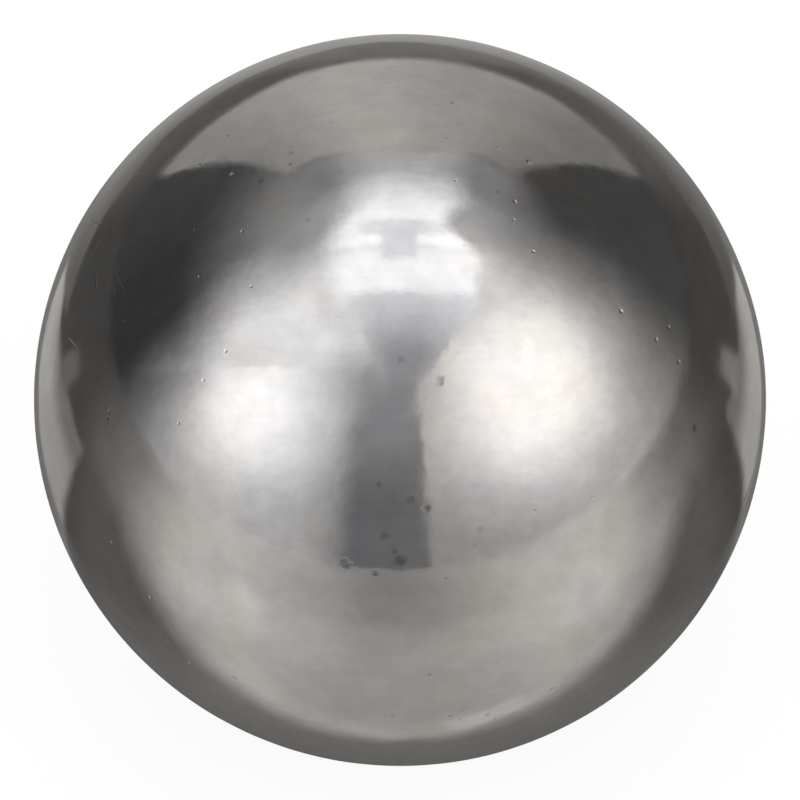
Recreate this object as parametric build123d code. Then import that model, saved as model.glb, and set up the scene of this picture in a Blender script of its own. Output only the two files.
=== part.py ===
from build123d import *

import os

# One loose solid steel ball, of the kind used in bearings, valves and bench fixtures.
# It is a single ground and polished sphere, with no hole, flat, seam or coating.
# Sizes are in millimetres. +Z is up, and the origin is the ball's centre, because
# every size and every fit of a ball is given from there.

BALL_DIAMETER = 25.4  # the one inch stock size


def make_ball():
    """The whole ball, one full sphere about the origin."""
    return Sphere(radius=BALL_DIAMETER / 2)


def main():
    os.makedirs("parts", exist_ok=True)
    export_step(make_ball(), "parts/ball.step")


main()
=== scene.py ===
# The looks of one polished steel ball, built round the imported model.
# Everything is in metres in the row frame: the ball's centre is the origin, +Z is up,
# the camera stands at -Y and +X is on the viewer's right.

import collections
import math
import random

import bmesh
import bpy
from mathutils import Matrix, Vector
from mathutils import kdtree
from mathutils import noise


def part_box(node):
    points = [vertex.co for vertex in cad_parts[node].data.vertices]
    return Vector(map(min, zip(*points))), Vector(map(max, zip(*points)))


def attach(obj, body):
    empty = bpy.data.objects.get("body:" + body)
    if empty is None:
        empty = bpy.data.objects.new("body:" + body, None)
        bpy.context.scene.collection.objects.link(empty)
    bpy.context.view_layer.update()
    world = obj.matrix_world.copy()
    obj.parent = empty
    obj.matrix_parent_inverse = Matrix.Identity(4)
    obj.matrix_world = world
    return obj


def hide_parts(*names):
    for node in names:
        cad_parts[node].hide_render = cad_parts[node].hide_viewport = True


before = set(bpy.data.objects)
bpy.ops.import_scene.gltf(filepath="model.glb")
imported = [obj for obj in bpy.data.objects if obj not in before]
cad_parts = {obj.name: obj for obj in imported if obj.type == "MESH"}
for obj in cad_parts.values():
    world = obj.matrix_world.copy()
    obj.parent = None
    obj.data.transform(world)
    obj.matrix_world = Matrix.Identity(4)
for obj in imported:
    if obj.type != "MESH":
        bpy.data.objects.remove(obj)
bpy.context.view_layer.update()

LOW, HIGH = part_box("ball")
CENTRE = (LOW + HIGH) / 2
RADIUS = min(HIGH - LOW) / 2
FLOOR_LEVEL = LOW.z

# ---------------------------------------------------------------- camera

CAMERA_ELEVATION = 50.0
CAMERA_DISTANCE = 23.6 * RADIUS
BALL_SHARE_OF_FRAME = 0.916
SENSOR_WIDTH = 36.0
CLIP_START = 0.1 * RADIUS
CLIP_END = 1000 * RADIUS


def direction(azimuth, elevation):
    """Unit vector; azimuth 0 is towards the camera and +90 is towards +X, both in degrees."""
    a = math.radians(azimuth)
    e = math.radians(elevation)
    return Vector((math.sin(a) * math.cos(e), -math.cos(a) * math.cos(e), math.sin(e)))


def make_camera():
    """A long lens close by, looking down on the ball as it stands on a bench."""
    data = bpy.data.cameras.new("camera")
    camera = bpy.data.objects.new("camera", data)
    bpy.context.scene.collection.objects.link(camera)
    towards_camera = direction(0, CAMERA_ELEVATION)
    camera.location = CENTRE + towards_camera * CAMERA_DISTANCE
    camera.rotation_mode = "QUATERNION"
    camera.rotation_quaternion = (-towards_camera).to_track_quat("-Z", "Y")
    half_width_of_ball = math.tan(math.asin(RADIUS / CAMERA_DISTANCE))
    data.sensor_width = SENSOR_WIDTH
    data.lens = SENSOR_WIDTH / 2 * BALL_SHARE_OF_FRAME / half_width_of_ball
    data.clip_start = CLIP_START
    data.clip_end = CLIP_END
    bpy.context.scene.camera = camera


# ---------------------------------------------------------------- small helpers

def fade(value, start, end):
    """0 before start and 1 after end, smooth in between; start may be the larger one."""
    t = min(1.0, max(0.0, (value - start) / (end - start)))
    return t * t * (3 - 2 * t)


def window(value, low, high, low_soft, high_soft):
    """1 between low and high, with soft edges of those widths centred on them."""
    rise = fade(value, low - low_soft / 2, low + low_soft / 2)
    fall = fade(value, high + high_soft / 2, high - high_soft / 2)
    return rise * fall


def glow(distance, width, power=2.0):
    """A round falloff: 1 at the middle, 0.37 at one width; a higher power has a flatter top."""
    return math.exp(-((abs(distance) / width) ** power))


def between(low, high, share):
    return low + (high - low) * share


def mixed(below, above, share):
    return [between(b, a, share) for b, a in zip(below, above)]


def tinted(level, tint):
    return [level * t for t in tint]


def new_object(name, bm):
    mesh = bpy.data.meshes.new(name)
    bm.to_mesh(mesh)
    bm.free()
    made = bpy.data.objects.new(name, mesh)
    bpy.context.scene.collection.objects.link(made)
    return made


def new_material(name):
    material = bpy.data.materials.new(name)
    material.use_nodes = True
    material.node_tree.nodes.clear()
    return material


def add_node(tree, kind, inputs=None, **settings):
    """A new node; each input is given a value, or linked if it is given a socket."""
    node = tree.nodes.new(kind)
    for name, value in settings.items():
        setattr(node, name, value)
    for name, value in (inputs or {}).items():
        if isinstance(value, bpy.types.NodeSocket):
            tree.links.new(value, node.inputs[name])
        else:
            node.inputs[name].default_value = value
    return node


def finish_material(tree, shader):
    add_node(tree, "ShaderNodeOutputMaterial", {"Surface": shader})


# ---------------------------------------------------------------- studio

STUDIO_RADIUS = 50 * RADIUS
STUDIO_STEP = 0.75
STUDIO_LOWEST = -4.0
STUDIO_TOP_HOLE = 1e-4
LOWEST_CEILING_VIEW = 0.3

NEUTRAL = (1.0, 1.0, 1.0)
WARM = (1.02, 1.0, 0.97)
CARD = (1.035, 1.0, 0.95)
COOL = (0.98, 0.99, 1.03)


def angle_from(azimuth, elevation, other_azimuth, other_elevation):
    """Degrees between two directions of the studio."""
    first = direction(azimuth, elevation)
    second = direction(other_azimuth, other_elevation)
    return math.degrees(first.angle(second))


def ceiling_plan(azimuth, elevation):
    """Where that direction meets a flat ceiling one unit up: to the right, and behind the ball."""
    d = direction(azimuth, elevation)
    height = max(d.z, LOWEST_CEILING_VIEW)
    return d.x / height, d.y / height


# Each part of the studio gives, for one direction, how much it covers what lies behind it,
# its brightness and its tint. Azimuths and elevations are in degrees, and brightness is what a
# perfect mirror would show, with 1 for pure white.

def dark_wall(azimuth, elevation):
    left = 0.055 + 0.03 * fade(azimuth, -112, -140) + 0.6 * fade(elevation, 20, 80)
    right = 0.085 + 0.75 * fade(elevation, 35, 78)
    return 1.0, between(left, right, fade(azimuth, -60, 60)), NEUTRAL


def back_haze(azimuth, elevation):
    """Light that spills down from the ceiling on to the space over the card."""
    off_centre = 180 - abs(azimuth)
    cover = fade(elevation, 36, 46) * fade(off_centre, 50, 34)
    level = between(0.68, 0.33, fade(off_centre, 8, 32)) + 0.25 * fade(elevation, 51, 61)
    return cover, level, NEUTRAL


def back_card(azimuth, elevation):
    """A grey card that stands behind the ball, with an arched top."""
    off_centre = 180 - abs(azimuth)
    top = between(48, 40, fade(off_centre, 0, 30))
    side = between(38, 36, fade(elevation, 5, 40))
    cover = fade(off_centre, side + 0.7, side - 0.7) * fade(elevation, top + 0.8, top - 0.8)
    level = between(0.62, 0.4, fade(off_centre, 8, 36)) - 0.11 * window(azimuth, 125, 176, 30, 14)
    return cover, level * between(0.96, 1.05, fade(elevation, 0, 35)), CARD


def left_light(azimuth, elevation):
    """A large sheet with a lamp behind it, and over its seam the next, evener sheet."""
    over_seam = 90 - angle_from(azimuth, elevation, 174, 32)
    reach = between(-82, -100, fade(elevation, 18, 52))
    cover = window(azimuth, reach, -6, 38, 10)
    lower = 0.66 - 0.04 * fade(azimuth, -44, -28) - 0.2 * fade(azimuth, -30, -16)
    lower += 1.12 * glow(angle_from(azimuth, elevation, -56, 33), 23, 2.6)
    upper = between(0.82, 1.45, fade(azimuth, -16, -50)) - 0.4 * fade(azimuth, -74, -98)
    upper -= 0.14 * window(over_seam, 0, 6, 1, 4)
    return cover, between(lower, upper, fade(over_seam, -0.7, 0.7)), NEUTRAL


def right_light(azimuth, elevation):
    """The sheet on the right, a little warmer, with its own lamp behind it."""
    reach = between(92, 102, fade(elevation, 5, 48))
    cover = window(azimuth, 8, reach, 2, 48)
    level = 0.42 + 0.2 * fade(azimuth, 10, 45) + 0.16 * fade(elevation, 3, 35)
    level += 0.12 * fade(elevation, 48, 66)
    level -= 0.03 * fade(elevation, 5, 4) * window(azimuth, 25, 60, 6, 20)
    lamp = 1.13 * glow(angle_from(azimuth, elevation, 54, 38), 27, 2.5)
    return cover, level + lamp, WARM


def high_haze(azimuth, elevation):
    """The side sheets end in one soft tone below the overhead light."""
    cover = fade(elevation, 58, 68) * fade(abs(azimuth), 125, 90)
    return cover, 1.17, NEUTRAL


def overhead_light(azimuth, elevation):
    """A soft light overhead, nipped in at the right, with a bar and a lamp that hang in it."""
    right, back = ceiling_plan(azimuth, elevation)
    right_edge = between(0.42, 0.23, fade(back, 0.1, 0.32)) + 0.1 * fade(back, 0.34, 0.52)
    edge_soft = between(0.1, 0.22, fade(back, 0.2, 0.6))
    left_edge = -0.35 + 0.12 * fade(back, 0.22, 0.45)
    cover = window(right, left_edge, right_edge, edge_soft + 0.1, edge_soft)
    cover *= fade(back, 0.74, 0.38) * fade(back, -0.22, -0.06)
    level = between(1.8, 1.5, fade(back, 0.3, 0.55))
    level -= 0.36 * window(back, 0.235, 0.316, 0.02, 0.02) * window(right, -0.2, 0.24, 0.08, 0.05)
    level += 0.14 * window(back, 0.168, 0.225, 0.015, 0.015)
    level -= 0.2 * window(back, 0.127, 0.155, 0.015, 0.015)
    lamp = window(back, 0.07, 0.316, 0.04, 0.02) * window(right, -0.09, 0.08, 0.03, 0.03)
    return cover, between(level, 1.36, lamp), mixed(NEUTRAL, COOL, lamp)


def camera_column(azimuth, elevation):
    """The dark camera and its stand, between the two side lights."""
    left_edge = between(-17.5, -7, fade(elevation, 38, 58))
    cover = window(azimuth, left_edge, 8, 9, 2) * fade(elevation, 64, 54)
    level = 0.22 + 0.21 * fade(elevation, 18, 52)
    return cover, level, COOL


def camera_hood(azimuth, elevation):
    """The shaded stretch over the camera, which widens up to the overhead light."""
    right, back = ceiling_plan(azimuth, elevation)
    run = max(0.0, back + 0.7)
    left_edge = -0.11 - 0.31 * run
    right_edge = 0.15 + 0.50 * run
    cover = window(right, left_edge, right_edge, 0.05, 0.04)
    cover *= window(back, -0.72, -0.115, 0.15, 0.04)
    off_axis = right / right_edge if right > 0 else right / left_edge
    level = between(1.22, 0.47, fade(back, -0.05, -0.55)) + 0.22 * fade(off_axis, 0.35, 1.1)
    return cover, level, COOL


STUDIO = (
    dark_wall,
    back_haze,
    back_card,
    left_light,
    right_light,
    high_haze,
    overhead_light,
    camera_column,
    camera_hood,
)


def studio_light(azimuth, elevation):
    """What a mirror sees of the studio in that direction, as linear red, green and blue."""
    light = [0.0, 0.0, 0.0]
    for part in STUDIO:
        cover, level, tint = part(azimuth, elevation)
        light = mixed(light, tinted(level, tint), cover)
    return light


def paint_points(obj, name, colour_of):
    """Stores colour_of(point) as a colour on each point of the mesh."""
    layer = obj.data.attributes.new(name, "FLOAT_COLOR", "POINT")
    for i, vertex in enumerate(obj.data.vertices):
        layer.data[i].color = [*colour_of(vertex.co), 1.0]


def revolved(name, profile, steps):
    """A surface of revolution about +Z from (radius, height) pairs, as a mesh object."""
    bm = bmesh.new()
    rows = []
    for radius, height in profile:
        row = []
        for i in range(steps):
            turn = 2 * math.pi * i / steps
            row.append(bm.verts.new((radius * math.sin(turn), -radius * math.cos(turn), height)))
        rows.append(row)
    for low_row, high_row in zip(rows, rows[1:]):
        for i in range(steps):
            j = (i + 1) % steps
            bm.faces.new((low_row[i], low_row[j], high_row[j], high_row[i]))
    return new_object(name, bm)


def azimuth_of(point):
    return math.degrees(math.atan2(point.x, -point.y))


def elevation_of(point):
    return math.degrees(math.asin(min(1.0, point.z / point.length)))


def attribute_colour(tree, name):
    attribute = add_node(tree, "ShaderNodeAttribute", attribute_name=name)
    return attribute.outputs["Color"]


def make_studio():
    """A dome round the ball that holds the lights, flags and cards that it mirrors."""
    profile = []
    for i in range(int((90 - STUDIO_LOWEST) / STUDIO_STEP)):
        elevation = math.radians(STUDIO_LOWEST + STUDIO_STEP * i)
        profile.append((STUDIO_RADIUS * math.cos(elevation), STUDIO_RADIUS * math.sin(elevation)))
    profile.append((STUDIO_RADIUS * STUDIO_TOP_HOLE, STUDIO_RADIUS))
    dome = revolved("studio_dome", profile, int(360 / STUDIO_STEP))
    paint_points(dome, "light", lambda point: studio_light(azimuth_of(point), elevation_of(point)))
    material = new_material("studio_light")
    tree = material.node_tree
    light = add_node(tree, "ShaderNodeEmission", {"Color": attribute_colour(tree, "light")})
    finish_material(tree, light.outputs["Emission"])
    dome.data.materials.append(material)
    dome.visible_camera = False


# ---------------------------------------------------------------- table

PAPER = (1.02, 1.0, 0.965)
STREAK_X = -1.5
STREAK_Y = -2.2
STREAK_TURN = math.radians(40.25)
WALL_FOOT = 20.5
TABLE_LIFT = 0.0005 * RADIUS
TABLE_HOLE = 0.02 * RADIUS
TABLE_FINEST_RING = 0.03 * RADIUS
TABLE_RING_GROWTH = 0.025
TABLE_STEPS = 400

# Each part of the table gives how much it covers and its tone, from 0 for black. Places are
# in ball radii from the point of contact: x to the right, y behind the ball.

def bare_table(x, y, azimuth, distance):
    out = abs(x)
    front = between(0.31, 0.17, fade(out, 0.6, 1.6))
    behind = 0.07 * fade(out, 1.1 * abs(y) + 0.1, 0.5 * abs(y)) + 0.1 * fade(out, 2.2, 1.0)
    back = 0.105 + behind * fade(y, 0.5, 3.0)
    turn = 0.3 + 0.25 * fade(out, 1.5, 6.0) * out
    return 1.0, between(front, back, fade(y, -turn, turn))


def front_paper(x, y, azimuth, distance):
    """Pale paper in front, with a straight near edge; its tone holds painted light, palest towards
    the two side lights and darker straight ahead between them.
    """
    out = abs(x)
    edge = -1.03 + 0.03 * max(0.0, out - 0.8)
    edge += 0.09 * fade(x, 0.9, 1.7)
    soft = 0.06 + between(0.14, 0.1, fade(x, 0.9, 1.7)) * out
    near_edge = fade(y, edge + soft, edge - soft)
    right_side = fade(azimuth, -40, 40)
    far_edge = fade(abs(azimuth), between(104, 108, right_side), 60)
    cover = between(near_edge, far_edge, fade(out, 2.5, 5.0))
    # Painted light: the near paper grows paler out towards the side lights, and darker at its sides
    # close to the ball and beyond the lights.
    near_tone = between(0.6, 0.9, fade(out, 0.2, 2.2))
    near_tone += 0.1 * fade(y, -1.35, -1.12) * fade(out, 1.2, 0.4)
    near_tone += 0.07 * fade(x, -0.3, -1.0)
    near_tone -= 0.2 * fade(out, 0.8, 1.6) * fade(y, -1.9, -1.2)
    near_tone *= between(1.0, 0.72, fade(abs(azimuth), 50, 66))
    # Painted light: a pool of light under each side light, with the far paper darker straight ahead.
    sides = fade(abs(azimuth), 0, 50) * fade(abs(azimuth), 84, 48)
    return cover, between(near_tone, between(0.4, 0.89, sides), fade(distance, 1.8, 4.5))


def painted_light_streak(x, y, azimuth, distance):
    """A painted highlight: a streak of light across the paper, to the left in front, with a tone
    above white.
    """
    right = x - STREAK_X
    back = y - STREAK_Y
    along = -math.cos(STREAK_TURN) * right - math.sin(STREAK_TURN) * back
    across = math.sin(STREAK_TURN) * right - math.cos(STREAK_TURN) * back
    cover = 0.55 * window(along, -0.2, 1.8, 0.6, 0.9) * window(across, -0.16, 0.16, 0.2, 0.2)
    return cover, 1.08


def torn_scrap(x, y, azimuth, distance):
    """A small white scrap at the near edge of the paper."""
    return window(x, 0.22, 0.62, 0.12, 0.2) * window(y, -1.24, -1.08, 0.06, 0.06), 0.86


def back_paper(x, y, azimuth, distance):
    """The paper between the ball and the card behind it."""
    out = abs(x)
    far_edge = 4.75 - 0.35 * max(0.0, out - 1.0)
    cover = window(y, 1.8, far_edge, 0.15, 0.25) * fade(out, 3.1, 2.8)
    tone = between(0.48, 0.25, fade(out, 0.6, 2.6)) * between(1.0, 0.78, fade(x, 0, 1.5))
    return cover, tone * between(0.8, 1.0, fade(y, 2.0, 2.8))


def side_paper(x, y, azimuth, distance):
    """The pale ends of that paper, on either side of the ball."""
    out = abs(x)
    limit = 3.55 - 0.85 * max(0.0, y - 0.8) - 0.15 * fade(x, 1, -1)
    near_edge = 0.16 + 0.2 * (out - 1.0) * fade(x, -1, 1)
    cover = window(y, near_edge, 1.8, 0.12, 0.15) * fade(out, limit, limit - 0.35)
    tone = between(between(0.57, 0.66, fade(y, 0.65, 1.15)), 0.29, fade(out, 2.05, 2.85))
    return cover, tone


def side_tail(x, y, azimuth, distance):
    """A narrow strip beyond them."""
    run = abs(x) - 3.5
    cover = window(y - 0.3 * run, 1.05, 1.5, 0.12, 0.15) * window(run, -0.6, 1.0, 0.4, 0.9)
    return cover, between(0.23, 0.36, fade(x, -1, 1))


def ball_shade(x, y, azimuth, distance):
    """The shade close under the sides of the ball."""
    limit = 1.37 + 0.2 * y
    return fade(abs(x), limit + 0.07, limit - 0.07) * window(y, 0.1, 2.0, 0.6, 0.3), 0.27


TABLE = (
    bare_table,
    front_paper,
    painted_light_streak,
    torn_scrap,
    back_paper,
    side_paper,
    side_tail,
    ball_shade,
)


def wall_share(azimuth, distance):
    """How much of the far table has given way to the foot of the walls."""
    softness = between(0.04, 0.45, fade(abs(azimuth), 9, 26))
    return fade(distance, WALL_FOOT * (1 - softness), WALL_FOOT * (1 + softness))


def wall_foot_light(point):
    azimuth = azimuth_of(point)
    share = wall_share(azimuth, math.hypot(point.x, point.y) / RADIUS)
    return [light * share for light in studio_light(azimuth, 0)]


def table_colour(point):
    x = point.x / RADIUS
    y = point.y / RADIUS
    azimuth = azimuth_of(point)
    distance = math.hypot(x, y)
    tone = 0.0
    for part in TABLE:
        cover, part_tone = part(x, y, azimuth, distance)
        tone = between(tone, part_tone, cover)
    return tinted(tone * (1 - wall_share(azimuth, distance)), PAPER)


def make_table():
    """The table top under the ball, seen only by what reflects it."""
    height = FLOOR_LEVEL + TABLE_LIFT
    profile = []
    radius = TABLE_HOLE
    while radius < STUDIO_RADIUS:
        profile.append((radius, height))
        radius += max(TABLE_FINEST_RING, TABLE_RING_GROWTH * radius)
    profile.append((STUDIO_RADIUS, height))
    table = revolved("table_top", profile, TABLE_STEPS)
    # The tone holds the paper's own tone together with the painted light and painted shade from the
    # parts above.
    paint_points(table, "tone", table_colour)
    paint_points(table, "wall_foot", wall_foot_light)
    material = new_material("table_top")
    tree = material.node_tree
    paper = add_node(tree, "ShaderNodeBsdfDiffuse", {"Color": attribute_colour(tree, "tone")})
    foot = add_node(tree, "ShaderNodeEmission", {"Color": attribute_colour(tree, "wall_foot")})
    both = {0: paper.outputs["BSDF"], 1: foot.outputs["Emission"]}
    finish_material(tree, add_node(tree, "ShaderNodeAddShader", both).outputs[0])
    table.data.materials.append(material)
    table.visible_camera = False
    table.visible_shadow = False
    table.visible_diffuse = False


# ---------------------------------------------------------------- floor and background

FLOOR_COLOUR = (0.85, 0.85, 0.85, 1)
FLOOR_WHITE_SHARE = 0.85
FLOOR_WHITE = 1.07
FLOOR_RADIUS = 0.99 * STUDIO_RADIUS
FLOOR_SIDES = 96


def shown_directly(tree):
    """1 for rays from the camera, off metal or through glass, which see the background."""
    path = add_node(tree, "ShaderNodeLightPath")
    seen = {0: path.outputs["Is Camera Ray"], 1: path.outputs["Is Glossy Ray"]}
    seen_or_mirrored = add_node(tree, "ShaderNodeMath", seen, operation="MAXIMUM")
    any_of_them = {0: seen_or_mirrored.outputs[0], 1: path.outputs["Is Transmission Ray"]}
    return add_node(tree, "ShaderNodeMath", any_of_them, operation="MAXIMUM").outputs[0]


def make_floor():
    bm = bmesh.new()
    bmesh.ops.create_circle(bm, cap_ends=True, segments=FLOOR_SIDES, radius=FLOOR_RADIUS)
    for vertex in bm.verts:
        vertex.co.z = FLOOR_LEVEL
    floor = new_object("floor", bm)
    material = new_material("pale_floor")
    tree = material.node_tree
    pale = add_node(tree, "ShaderNodeBsdfDiffuse", {"Color": FLOOR_COLOUR})
    white = add_node(tree, "ShaderNodeEmission", {"Strength": FLOOR_WHITE})
    share = {0: shown_directly(tree), 1: FLOOR_WHITE_SHARE}
    share = add_node(tree, "ShaderNodeMath", share, operation="MULTIPLY").outputs[0]
    sockets = {0: share, 1: pale.outputs["BSDF"], 2: white.outputs["Emission"]}
    finish_material(tree, add_node(tree, "ShaderNodeMixShader", sockets).outputs[0])
    floor.data.materials.append(material)


def make_world():
    world = bpy.data.worlds.new("white_background")
    world.use_nodes = True
    background = world.node_tree.nodes["Background"]
    background.inputs["Color"].default_value = (1, 1, 1, 1)
    background.inputs["Strength"].default_value = 1.0
    bpy.context.scene.world = world


# ---------------------------------------------------------------- marks on the ball

MM = 0.001
MICRON = 0.000001

MarkGroup = collections.namedtuple("MarkGroup", "azimuth elevation reach count narrowest widest dirt")

# Where the marks gather: the middle of each group and its reach in degrees, how many marks it
# has, their widths in millimetres, and how dirty they are. A clean mark is a bright nick.
MARK_GROUPS = (
    MarkGroup(0, 25, 0, 1, 0.48, 0.52, 1.0),
    MarkGroup(-3, 30, 8, 9, 0.24, 0.40, 0.6),
    MarkGroup(5, 55, 6, 2, 0.28, 0.45, 0.6),
    MarkGroup(20, 30, 8, 2, 0.25, 0.30, 0.3),
    MarkGroup(60, 25, 0, 1, 0.32, 0.36, 0.8),
    MarkGroup(10, 0, 15, 6, 0.12, 0.22, 0.5),
    MarkGroup(-70, 70, 10, 4, 0.20, 0.35, 0.4),
    MarkGroup(120, 65, 20, 3, 0.15, 0.25, 0.6),
    MarkGroup(-80, 45, 25, 12, 0.12, 0.20, 0.0),
    MarkGroup(85, 50, 25, 12, 0.12, 0.20, 0.0),
    MarkGroup(-45, -10, 20, 8, 0.15, 0.24, 0.0),
    MarkGroup(20, -10, 30, 4, 0.15, 0.20, 0.0),
)

# The middle and reach of each group of scratches in degrees, and how many it has.
SCRATCH_GROUPS = (
    (-85, 35, 15, 5),
    (65, 0, 10, 2),
    (-50, -10, 5, 1),
    (180, 10, 60, 4),
)
LONGEST_SCRATCH = 8.0

PIT_DEPTH = 0.012
DING_DEPTH = 0.065
SCRATCH_WIDTH = 0.09 * MM
SCRATCH_DEPTH = 0.10
RAGGED_SIZE = 0.16 * MM
SCRATCH_SPACING = 0.3 * SCRATCH_WIDTH
SCRATCH_END_WIDTH = 0.55
FAR_SIDE_MARKS = 80
FAR_SIDE_ANGLE = 84
FAR_SIDE_WIDTHS = (0.12 * MM, 0.42 * MM)
WIDE_MARK_RARITY = 2.5
FINE_SPECKS = 90
SPECK_WIDTHS = (0.08 * MM, 0.14 * MM)
SPECK_DEPTHS = (0.04, 0.09)
SPECK_MOST_DIRT = 0.6
MARK_SEED = 11

Dent = collections.namedtuple("Dent", "centre radius depth dirt")


def dent(centre, width, depth_share, dirt):
    return Dent(centre, width / 2, width * depth_share, dirt)


def scratch_dents(start, end):
    """A groove, pressed as a row of overlapping dents."""
    length = start.angle(end) * RADIUS
    count = max(2, round(length / SCRATCH_SPACING))
    row = []
    for i in range(count + 1):
        share = i / count
        taper = between(SCRATCH_END_WIDTH, 1.0, math.sin(math.pi * share))
        row.append(dent(start.slerp(end, share), SCRATCH_WIDTH * taper, SCRATCH_DEPTH, 0.0))
    return row


def random_direction(chance):
    height = chance.uniform(-1, 1)
    return direction(chance.uniform(-180, 180), math.degrees(math.asin(height)))


def far_side_dents(chance):
    """Like marks on the sides away from the camera."""
    found = []
    front = direction(0, CAMERA_ELEVATION)
    while len(found) < FAR_SIDE_MARKS:
        centre = random_direction(chance)
        width = between(*FAR_SIDE_WIDTHS, chance.random() ** WIDE_MARK_RARITY)
        dirt = max(0.0, chance.uniform(-1, 1))
        if math.degrees(centre.angle(front)) < FAR_SIDE_ANGLE:
            continue
        found.append(dent(centre, width, PIT_DEPTH if dirt else DING_DEPTH, dirt))
    return found


def fine_specks(chance):
    """Tiny shallow specks all over."""
    found = []
    for _ in range(FINE_SPECKS):
        width = chance.uniform(*SPECK_WIDTHS)
        depth_share = chance.uniform(*SPECK_DEPTHS)
        place = random_direction(chance)
        found.append(dent(place, width, depth_share, chance.uniform(0, SPECK_MOST_DIRT)))
    return found


def scattered(middle, reach, chance):
    """A random direction within that many degrees of the middle."""
    side = middle.orthogonal().normalized()
    other = middle.cross(side)
    turn = chance.uniform(0, 2 * math.pi)
    tilt = math.radians(reach * math.sqrt(chance.random()))
    outward = side * math.cos(turn) + other * math.sin(turn)
    return middle * math.cos(tilt) + outward * math.sin(tilt)


def grouped_dents(chance):
    found = []
    for group in MARK_GROUPS:
        middle = direction(group.azimuth, group.elevation)
        depth_share = PIT_DEPTH if group.dirt else DING_DEPTH
        for _ in range(group.count):
            centre = scattered(middle, group.reach, chance)
            width = chance.uniform(group.narrowest, group.widest) * MM
            dirt = group.dirt * chance.uniform(0.7, 1.0)
            found.append(dent(centre, width, depth_share, dirt))
    return found


def grouped_scratches(chance):
    found = []
    for azimuth, elevation, reach, count in SCRATCH_GROUPS:
        middle = direction(azimuth, elevation)
        for _ in range(count):
            start = scattered(middle, reach, chance)
            found += scratch_dents(start, scattered(start, LONGEST_SCRATCH, chance))
    return found


def all_dents():
    chance = random.Random(MARK_SEED)
    found = grouped_dents(chance) + grouped_scratches(chance)
    return found + far_side_dents(chance) + fine_specks(chance)


# ---------------------------------------------------------------- ball

CELLS = 90
UV_COLUMNS = 3
UV_ROWS = 2
UV_MARGIN = 0.01

CUBE_SIDES = [
    (Vector((1, 0, 0)), Vector((0, 1, 0)), Vector((0, 0, 1))),
    (Vector((-1, 0, 0)), Vector((0, -1, 0)), Vector((0, 0, 1))),
    (Vector((0, 1, 0)), Vector((-1, 0, 0)), Vector((0, 0, 1))),
    (Vector((0, -1, 0)), Vector((1, 0, 0)), Vector((0, 0, 1))),
    (Vector((0, 0, 1)), Vector((1, 0, 0)), Vector((0, 1, 0))),
    (Vector((0, 0, -1)), Vector((1, 0, 0)), Vector((0, -1, 0))),
]

LONG_WAVE = 3.2 * MM
LONG_WAVE_DEPTH = 7.0 * MICRON
SHORT_WAVE = 1.3 * MM
SHORT_WAVE_DEPTH = 3.6 * MICRON
NOISE_SHIFT = Vector((5.3, 1.7, 9.1))
SLOPE_STEP = 0.015 * MM
FINEST_LEVELS = 3
LONGEST_EDGE_SHARE = 0.45
RAGGED_MEAN = 0.98
RAGGED_AMOUNT = 0.55
DIRT_EDGE = 0.35


def cube_sphere(cells):
    """A unit sphere of six square grids, with one cell of the UV map for each grid."""
    bm = bmesh.new()
    uv = bm.loops.layers.uv.new("OFBake")
    for number, (out, across, up) in enumerate(CUBE_SIDES):
        column = number % UV_COLUMNS
        row = number // UV_COLUMNS
        grid = {}
        for i in range(cells + 1):
            for j in range(cells + 1):
                s = math.tan((i / cells - 0.5) * math.pi / 2)
                t = math.tan((j / cells - 0.5) * math.pi / 2)
                grid[i, j] = bm.verts.new((out + across * s + up * t).normalized())
        for i in range(cells):
            for j in range(cells):
                corners = [(i, j), (i + 1, j), (i + 1, j + 1), (i, j + 1)]
                face = bm.faces.new([grid[c] for c in corners])
                face.smooth = True
                for loop, (a, b) in zip(face.loops, corners):
                    u = UV_MARGIN + a / cells * (1 - 2 * UV_MARGIN)
                    v = UV_MARGIN + b / cells * (1 - 2 * UV_MARGIN)
                    loop[uv].uv = ((column + u) / UV_COLUMNS, (row + v) / UV_ROWS)
    bmesh.ops.remove_doubles(bm, verts=bm.verts, dist=1e-5)
    return bm


def dent_tree(dents):
    tree = kdtree.KDTree(len(dents))
    for i, one in enumerate(dents):
        tree.insert(one.centre, i)
    tree.balance()
    return tree


def refine_round_dents(bm, dents, tree):
    """Halves the mesh round each dent until the dent is several cells across."""
    widest = max(one.radius for one in dents)
    for _ in range(FINEST_LEVELS):
        long_edges = []
        for edge in bm.edges:
            length = edge.calc_length() * RADIUS
            middle = ((edge.verts[0].co + edge.verts[1].co) / 2).normalized()
            for _, i, gap in tree.find_range(middle, (widest + length) / RADIUS):
                too_coarse = length > dents[i].radius * LONGEST_EDGE_SHARE
                if too_coarse and gap * RADIUS < dents[i].radius * 1.1 + length * 0.7:
                    long_edges.append(edge)
                    break
        options = {"cuts": 1, "use_grid_fill": True, "use_single_edge": True}
        bmesh.ops.subdivide_edges(bm, edges=long_edges, **options)
        for vertex in bm.verts:
            vertex.co.normalize()
    many_sided = [face for face in bm.faces if len(face.verts) > 4]
    bmesh.ops.triangulate(bm, faces=many_sided)


def wave_depth(d):
    """Slight unevenness left by years of use; never outside the true sphere."""
    long_wave = 1 + noise.noise(d * (RADIUS / LONG_WAVE))
    short_wave = 1 + noise.noise(d * (RADIUS / SHORT_WAVE) + NOISE_SHIFT)
    return LONG_WAVE_DEPTH * long_wave + SHORT_WAVE_DEPTH * short_wave


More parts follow.
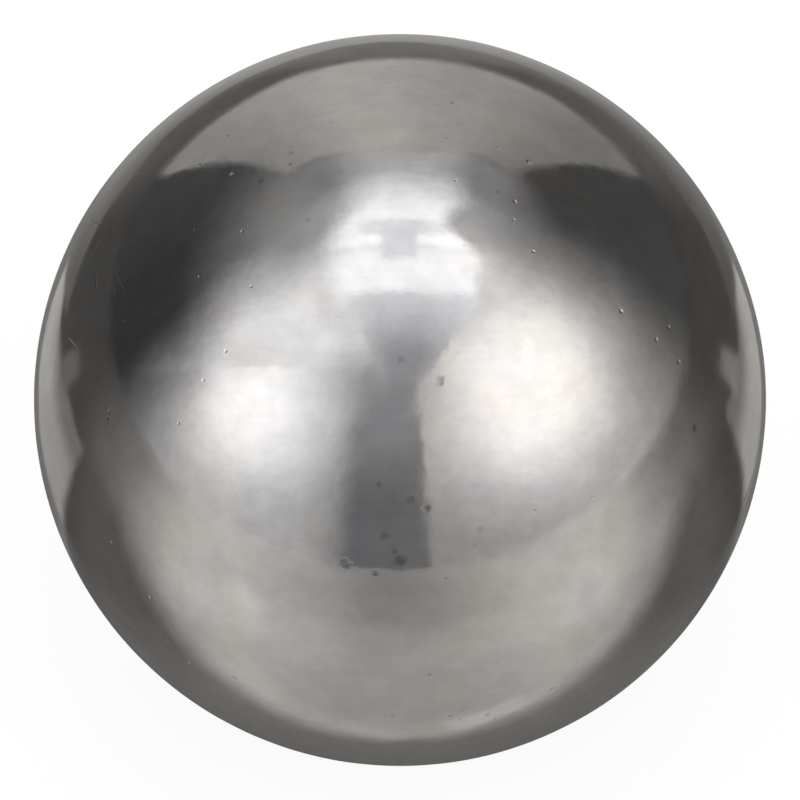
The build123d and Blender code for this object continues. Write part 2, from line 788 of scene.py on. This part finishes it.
def pressed(d, dents, tree, widest):
    """Depth and dirt of the deepest dent at that direction."""
    depth = 0.0
    dirt = 0.0
    ragged = 1.0
    for _, i, gap in tree.find_range(d, widest / RADIUS):
        if ragged == 1.0:
            ragged = RAGGED_MEAN + RAGGED_AMOUNT * noise.noise(d * (RADIUS / RAGGED_SIZE))
        share = gap * RADIUS / dents[i].radius * ragged
        if share < 1:
            depth = max(depth, dents[i].depth * (1 - share * share) ** 2)
            dirt = max(dirt, dents[i].dirt * fade(share, 1.0, DIRT_EDGE))
    return depth, dirt


def make_ball():
    dents = all_dents()
    tree = dent_tree(dents)
    widest = max(one.radius for one in dents)
    bm = cube_sphere(CELLS)
    refine_round_dents(bm, dents, tree)

    def depth_at(d):
        return wave_depth(d) + pressed(d, dents, tree, widest)[0]

    step = SLOPE_STEP / RADIUS
    normals = []
    dirt = []
    for vertex in bm.verts:
        d = vertex.co.normalized()
        side = d.orthogonal().normalized()
        other = d.cross(side)
        depth = depth_at(d)
        slope = (depth_at((d + side * step).normalized()) - depth) / SLOPE_STEP
        other_slope = (depth_at((d + other * step).normalized()) - depth) / SLOPE_STEP
        normals.append((d + side * slope + other * other_slope).normalized())
        dirt.append(pressed(d, dents, tree, widest)[1])
        vertex.co = CENTRE + d * (RADIUS - depth)
    ball = new_object("polished_ball", bm)
    ball.data.normals_split_custom_set_from_vertices(normals)
    layer = ball.data.attributes.new("dirt", "FLOAT_COLOR", "POINT")
    for i, share in enumerate(dirt):
        layer.data[i].color = (share, share, share, 1)
    ball.data.materials.append(steel_material())
    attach(ball, "root")
    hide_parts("ball")


# ---------------------------------------------------------------- steel

BRIGHT_STEEL = (0.600, 0.588, 0.580, 1)
GREY_STEEL = (0.535, 0.527, 0.529, 1)
WARM_STAIN = (0.562, 0.537, 0.515, 1)
BLUE_STAIN = (0.525, 0.532, 0.555, 1)
PIT_DIRT = (0.175, 0.165, 0.166, 1)
STEEL_ROUGHNESS = (0.065, 0.13)
DIRT_ROUGHNESS = 0.24
BLACK = (0, 0, 0, 1)
CLOUD_SIZE = 4.5 * MM
WARM_SIZE = 3.0 * MM
BLUE_SIZE = 2.6 * MM
STAIN_SHARE = 0.6
MOTTLE_SIZE = 0.8 * MM
MOTTLE_SHARE = 0.07
STREAK_SIZE = 0.22 * MM
STREAK_STRETCH = (0.06, 1, 1)
STREAK_SHARE = 0.025
HAZE_SIZE = 2.2 * MM
RIPPLE_SIZE = 0.5 * MM
RIPPLE_HEIGHT = 2.0 * MICRON
GRAIN_SIZE = 0.14 * MM
GRAIN_HEIGHT = 0.15 * MICRON


def noise_share(tree, coordinates, size, low, high, detail=3.0, shift=0.0, stretch=(1, 1, 1)):
    """Clouds of about that size in metres, as a share from 0 to 1 between the two noise values."""
    place = {"Vector": coordinates, "Location": (shift, shift, -shift), "Scale": stretch}
    mapped = add_node(tree, "ShaderNodeMapping", place).outputs["Vector"]
    settings = {"Vector": mapped, "Scale": 1 / size, "Detail": detail, "Roughness": 0.55}
    clouds = add_node(tree, "ShaderNodeTexNoise", settings).outputs["Fac"]
    limits = {"Value": clouds, "From Min": low, "From Max": high}
    share = add_node(tree, "ShaderNodeMapRange", limits, interpolation_type="SMOOTHSTEP")
    return share.outputs["Result"]


def times(tree, value, factor):
    return add_node(tree, "ShaderNodeMath", {0: value, 1: factor}, operation="MULTIPLY").outputs[0]


def blended(tree, share, below, above):
    """A colour mixed from two colours or colour sockets."""
    colours = {0: share, 6: below, 7: above}
    return add_node(tree, "ShaderNodeMix", colours, data_type="RGBA").outputs[2]


def steel_colour(tree, coordinates, dirt):
    clouds = noise_share(tree, coordinates, CLOUD_SIZE, 0.38, 0.62, detail=4)
    colour = blended(tree, clouds, GREY_STEEL, BRIGHT_STEEL)
    warm = noise_share(tree, coordinates, WARM_SIZE, 0.52, 0.70, shift=0.02)
    colour = blended(tree, times(tree, warm, STAIN_SHARE), colour, WARM_STAIN)
    blue = noise_share(tree, coordinates, BLUE_SIZE, 0.52, 0.70, shift=0.05)
    colour = blended(tree, times(tree, blue, STAIN_SHARE), colour, BLUE_STAIN)
    mottle = noise_share(tree, coordinates, MOTTLE_SIZE, 0.35, 0.65, shift=0.08)
    colour = blended(tree, times(tree, mottle, MOTTLE_SHARE), colour, BLACK)
    long_ways = {"detail": 2, "shift": 0.11, "stretch": STREAK_STRETCH}
    streaks = noise_share(tree, coordinates, STREAK_SIZE, 0.4, 0.6, **long_ways)
    colour = blended(tree, times(tree, streaks, STREAK_SHARE), colour, BLACK)
    return blended(tree, dirt, colour, PIT_DIRT)


def steel_roughness(tree, coordinates, dirt):
    haze = noise_share(tree, coordinates, HAZE_SIZE, 0.40, 0.66, detail=4, shift=0.14)
    low, high = STEEL_ROUGHNESS
    limits = {"Value": haze, "To Min": low, "To Max": high}
    worn = add_node(tree, "ShaderNodeMapRange", limits).outputs["Result"]
    pitted = {"Value": dirt, "To Min": worn, "To Max": DIRT_ROUGHNESS}
    return add_node(tree, "ShaderNodeMapRange", pitted).outputs["Result"]


def steel_bump(tree, coordinates):
    """The ripple and grain that are finer than the mesh."""
    ripple = noise_share(tree, coordinates, RIPPLE_SIZE, 0.0, 1.0, detail=1.5, shift=0.17)
    rippled = {"Height": ripple, "Strength": 1.0, "Distance": RIPPLE_HEIGHT}
    normal = add_node(tree, "ShaderNodeBump", rippled).outputs["Normal"]
    grain = noise_share(tree, coordinates, GRAIN_SIZE, 0.0, 1.0, detail=1.0, shift=0.20)
    grained = {"Height": grain, "Strength": 1.0, "Distance": GRAIN_HEIGHT, "Normal": normal}
    return add_node(tree, "ShaderNodeBump", grained).outputs["Normal"]


def steel_material():
    material = new_material("polished_steel")
    tree = material.node_tree
    coordinates = add_node(tree, "ShaderNodeTexCoord").outputs["Object"]
    marks = {"Color": attribute_colour(tree, "dirt")}
    dirt = add_node(tree, "ShaderNodeSeparateColor", marks).outputs["Red"]
    surface = {
        "Metallic": 1.0,
        "Base Color": steel_colour(tree, coordinates, dirt),
        "Roughness": steel_roughness(tree, coordinates, dirt),
        "Normal": steel_bump(tree, coordinates),
    }
    steel = add_node(tree, "ShaderNodeBsdfPrincipled", surface)
    finish_material(tree, steel.outputs["BSDF"])
    return material


# ---------------------------------------------------------------- build

bpy.context.scene.view_settings.view_transform = "Standard"
make_camera()
make_world()
make_studio()
make_table()
make_floor()
make_ball()
